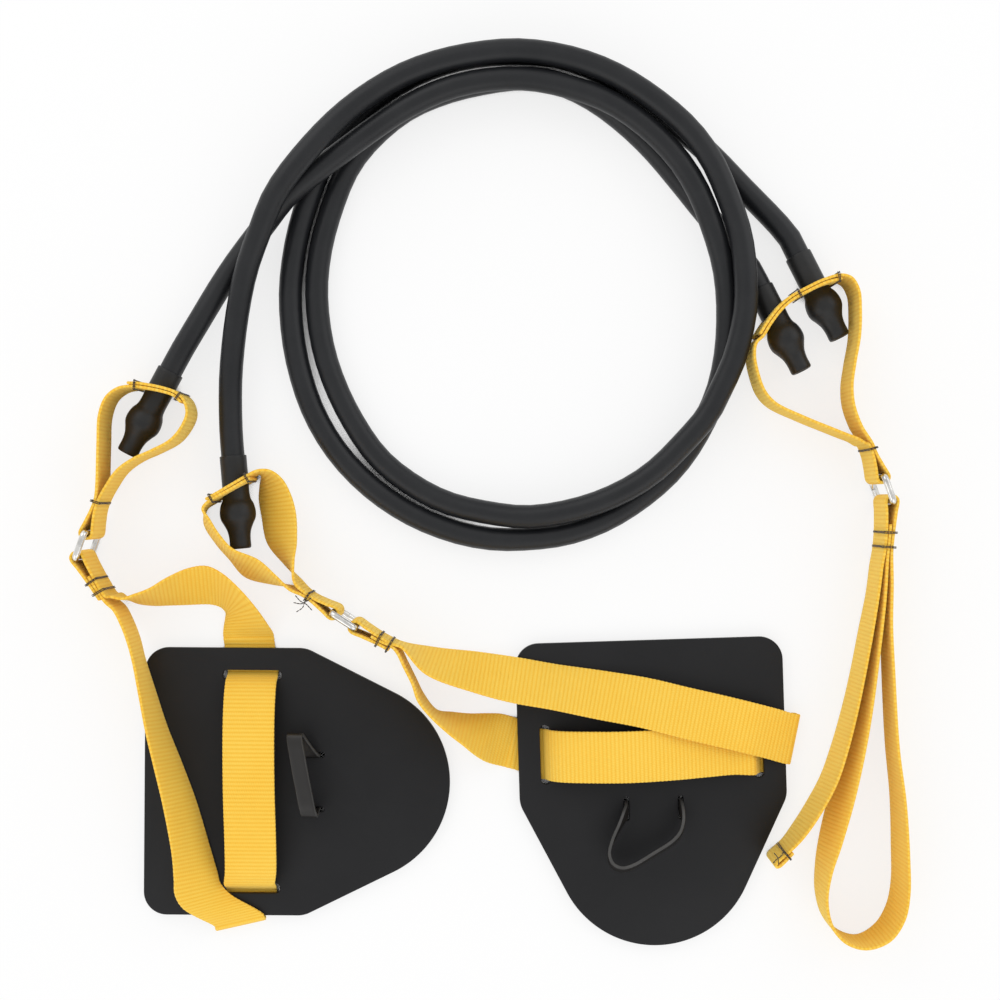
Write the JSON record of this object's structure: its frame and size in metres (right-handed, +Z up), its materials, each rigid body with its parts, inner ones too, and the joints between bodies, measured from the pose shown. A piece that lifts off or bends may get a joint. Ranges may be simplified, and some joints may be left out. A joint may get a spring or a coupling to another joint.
{
  "type": "swim training resistance band",
  "caption": "Rubber resistance tubing with webbing loops and wire rings, flat hand paddles strapped to its handle ends and a webbing anchor strap on the other.",
  "frame": {"origin": "on the surface that the set lies on, under the middle of everything but the tubes and their ends", "axes": "+X runs from the handle ends to the anchor end, +Y from the paddles to the looped tubes, +Z up from the surface"},
  "size_m": [0.4069, 0.449, 0.0339],
  "materials": {
    "yellow webbing": "woven, matte",
    "black thread": "matte",
    "latex tube": "satin",
    "sleeve rubber": "satin",
    "plug plastic": "satin",
    "nickel wire": "polished",
    "paddle plastic": "matte",
    "finger band rubber": "satin, translucent"
  },
  "bodies": {
    "tubes": {"plug_a_anchor": "plug plastic", "plug_a_handle": "plug plastic", "plug_b_anchor": "plug plastic", "plug_b_handle": "plug plastic", "sleeve_a_anchor": "sleeve rubber", "sleeve_a_handle": "sleeve rubber", "sleeve_b_anchor": "sleeve rubber", "sleeve_b_handle": "sleeve rubber", "tube_a": "latex tube", "tube_b": "latex tube"},
    "handle_loop_a": {"handle_loop_a": "yellow webbing", "handle_loop_a_left_seam": "black thread", "handle_loop_a_right_seam": "black thread", "handle_loop_a_tack": "black thread"},
    "handle_loop_b": {"handle_loop_b": "yellow webbing", "handle_loop_b_left_seam": "black thread", "handle_loop_b_right_seam": "black thread", "handle_loop_b_tack": "black thread"},
    "anchor_loop": {"anchor_loop": "yellow webbing", "anchor_loop_middle_seam": "black thread", "anchor_loop_right_seam": "black thread", "anchor_loop_tack": "black thread"},
    "ring_a": {"ring_a": "nickel wire"},
    "ring_b": {"ring_b": "nickel wire"},
    "ring_c": {"ring_c": "nickel wire"},
    "handle_a": {"paddle_a": "paddle plastic", "paddle_strap_a": "yellow webbing", "paddle_strap_a_lower_tack": "black thread", "paddle_strap_a_upper_tack": "black thread"},
    "handle_b": {"paddle_b": "paddle plastic", "paddle_strap_b": "yellow webbing", "paddle_strap_b_lower_tack": "black thread", "paddle_strap_b_upper_tack": "black thread"},
    "finger_loop_a": {"finger_loop_a": "finger band rubber", "finger_loop_a_left_pin": "finger band rubber", "finger_loop_a_right_pin": "finger band rubber"},
    "finger_loop_b": {"finger_loop_b": "finger band rubber", "finger_loop_b_left_pin": "finger band rubber", "finger_loop_b_right_pin": "finger band rubber"},
    "anchor_strap": {"anchor_strap": "yellow webbing", "anchor_strap_hem": "black thread", "anchor_strap_lower_tack": "black thread", "anchor_strap_upper_tack": "black thread"}
  },
  "joints": [
    {"name": "handle_loop_a_slide", "type": "slide", "parent": "tubes", "child": "handle_loop_a", "axis": [-0.4699, -0.8827, 0], "range_m": [-0.002, 0.006]},
    {"name": "handle_loop_b_slide", "type": "slide", "parent": "tubes", "child": "handle_loop_b", "axis": [0.085, -0.9964, 0], "range_m": [0, 0.0008]},
    {"name": "anchor_loop_slide", "type": "slide", "parent": "tubes", "child": "anchor_loop", "axis": [0.4335, -0.8969, 0.0872], "range_m": [0, 0.0008]},
    {"name": "ring_a_swivel", "type": "hinge", "parent": "handle_loop_a", "child": "ring_a", "pos_m": [-0.19544, 0.0397, 0.0167], "axis": [0, 0, 1], "range_deg": [-30, 0]},
    {"name": "strap_a_swivel", "type": "hinge", "parent": "ring_a", "child": "handle_a", "pos_m": [-0.19984, 0.0275, 0.0167], "axis": [0, 0, 1], "range_deg": [-30, 0]},
    {"name": "ring_b_swivel", "type": "hinge", "parent": "handle_loop_b", "child": "ring_b", "pos_m": [-0.07664, 0.001, 0.0167], "axis": [0, 0, 1], "range_deg": [0, 10]},
    {"name": "strap_b_swivel", "type": "hinge", "parent": "ring_b", "child": "handle_b", "pos_m": [-0.06564, -0.0061, 0.0167], "axis": [0, 0, 1], "range_deg": [0, 10]},
    {"name": "ring_c_swivel", "type": "hinge", "parent": "anchor_loop", "child": "ring_c", "pos_m": [0.18906, 0.0667, 0.0167], "axis": [0, 0, 1], "range_deg": [0, 15]},
    {"name": "anchor_strap_swivel", "type": "hinge", "parent": "ring_c", "child": "anchor_strap", "pos_m": [0.19336, 0.0547, 0.0167], "axis": [0, 0, 1], "range_deg": [0, 15]},
    {"name": "finger_loop_a_tilt", "type": "hinge", "parent": "handle_a", "child": "finger_loop_a", "pos_m": [-0.08904, -0.08478, 0.00095], "axis": [0.007, 1, 0], "range_deg": [-10, 12]},
    {"name": "finger_loop_b_tilt", "type": "hinge", "parent": "handle_b", "child": "finger_loop_b", "pos_m": [0.08068, -0.09766, 0.00095], "axis": [0.9995, 0.0314, 0], "range_deg": [-15, 5]}
  ]
}
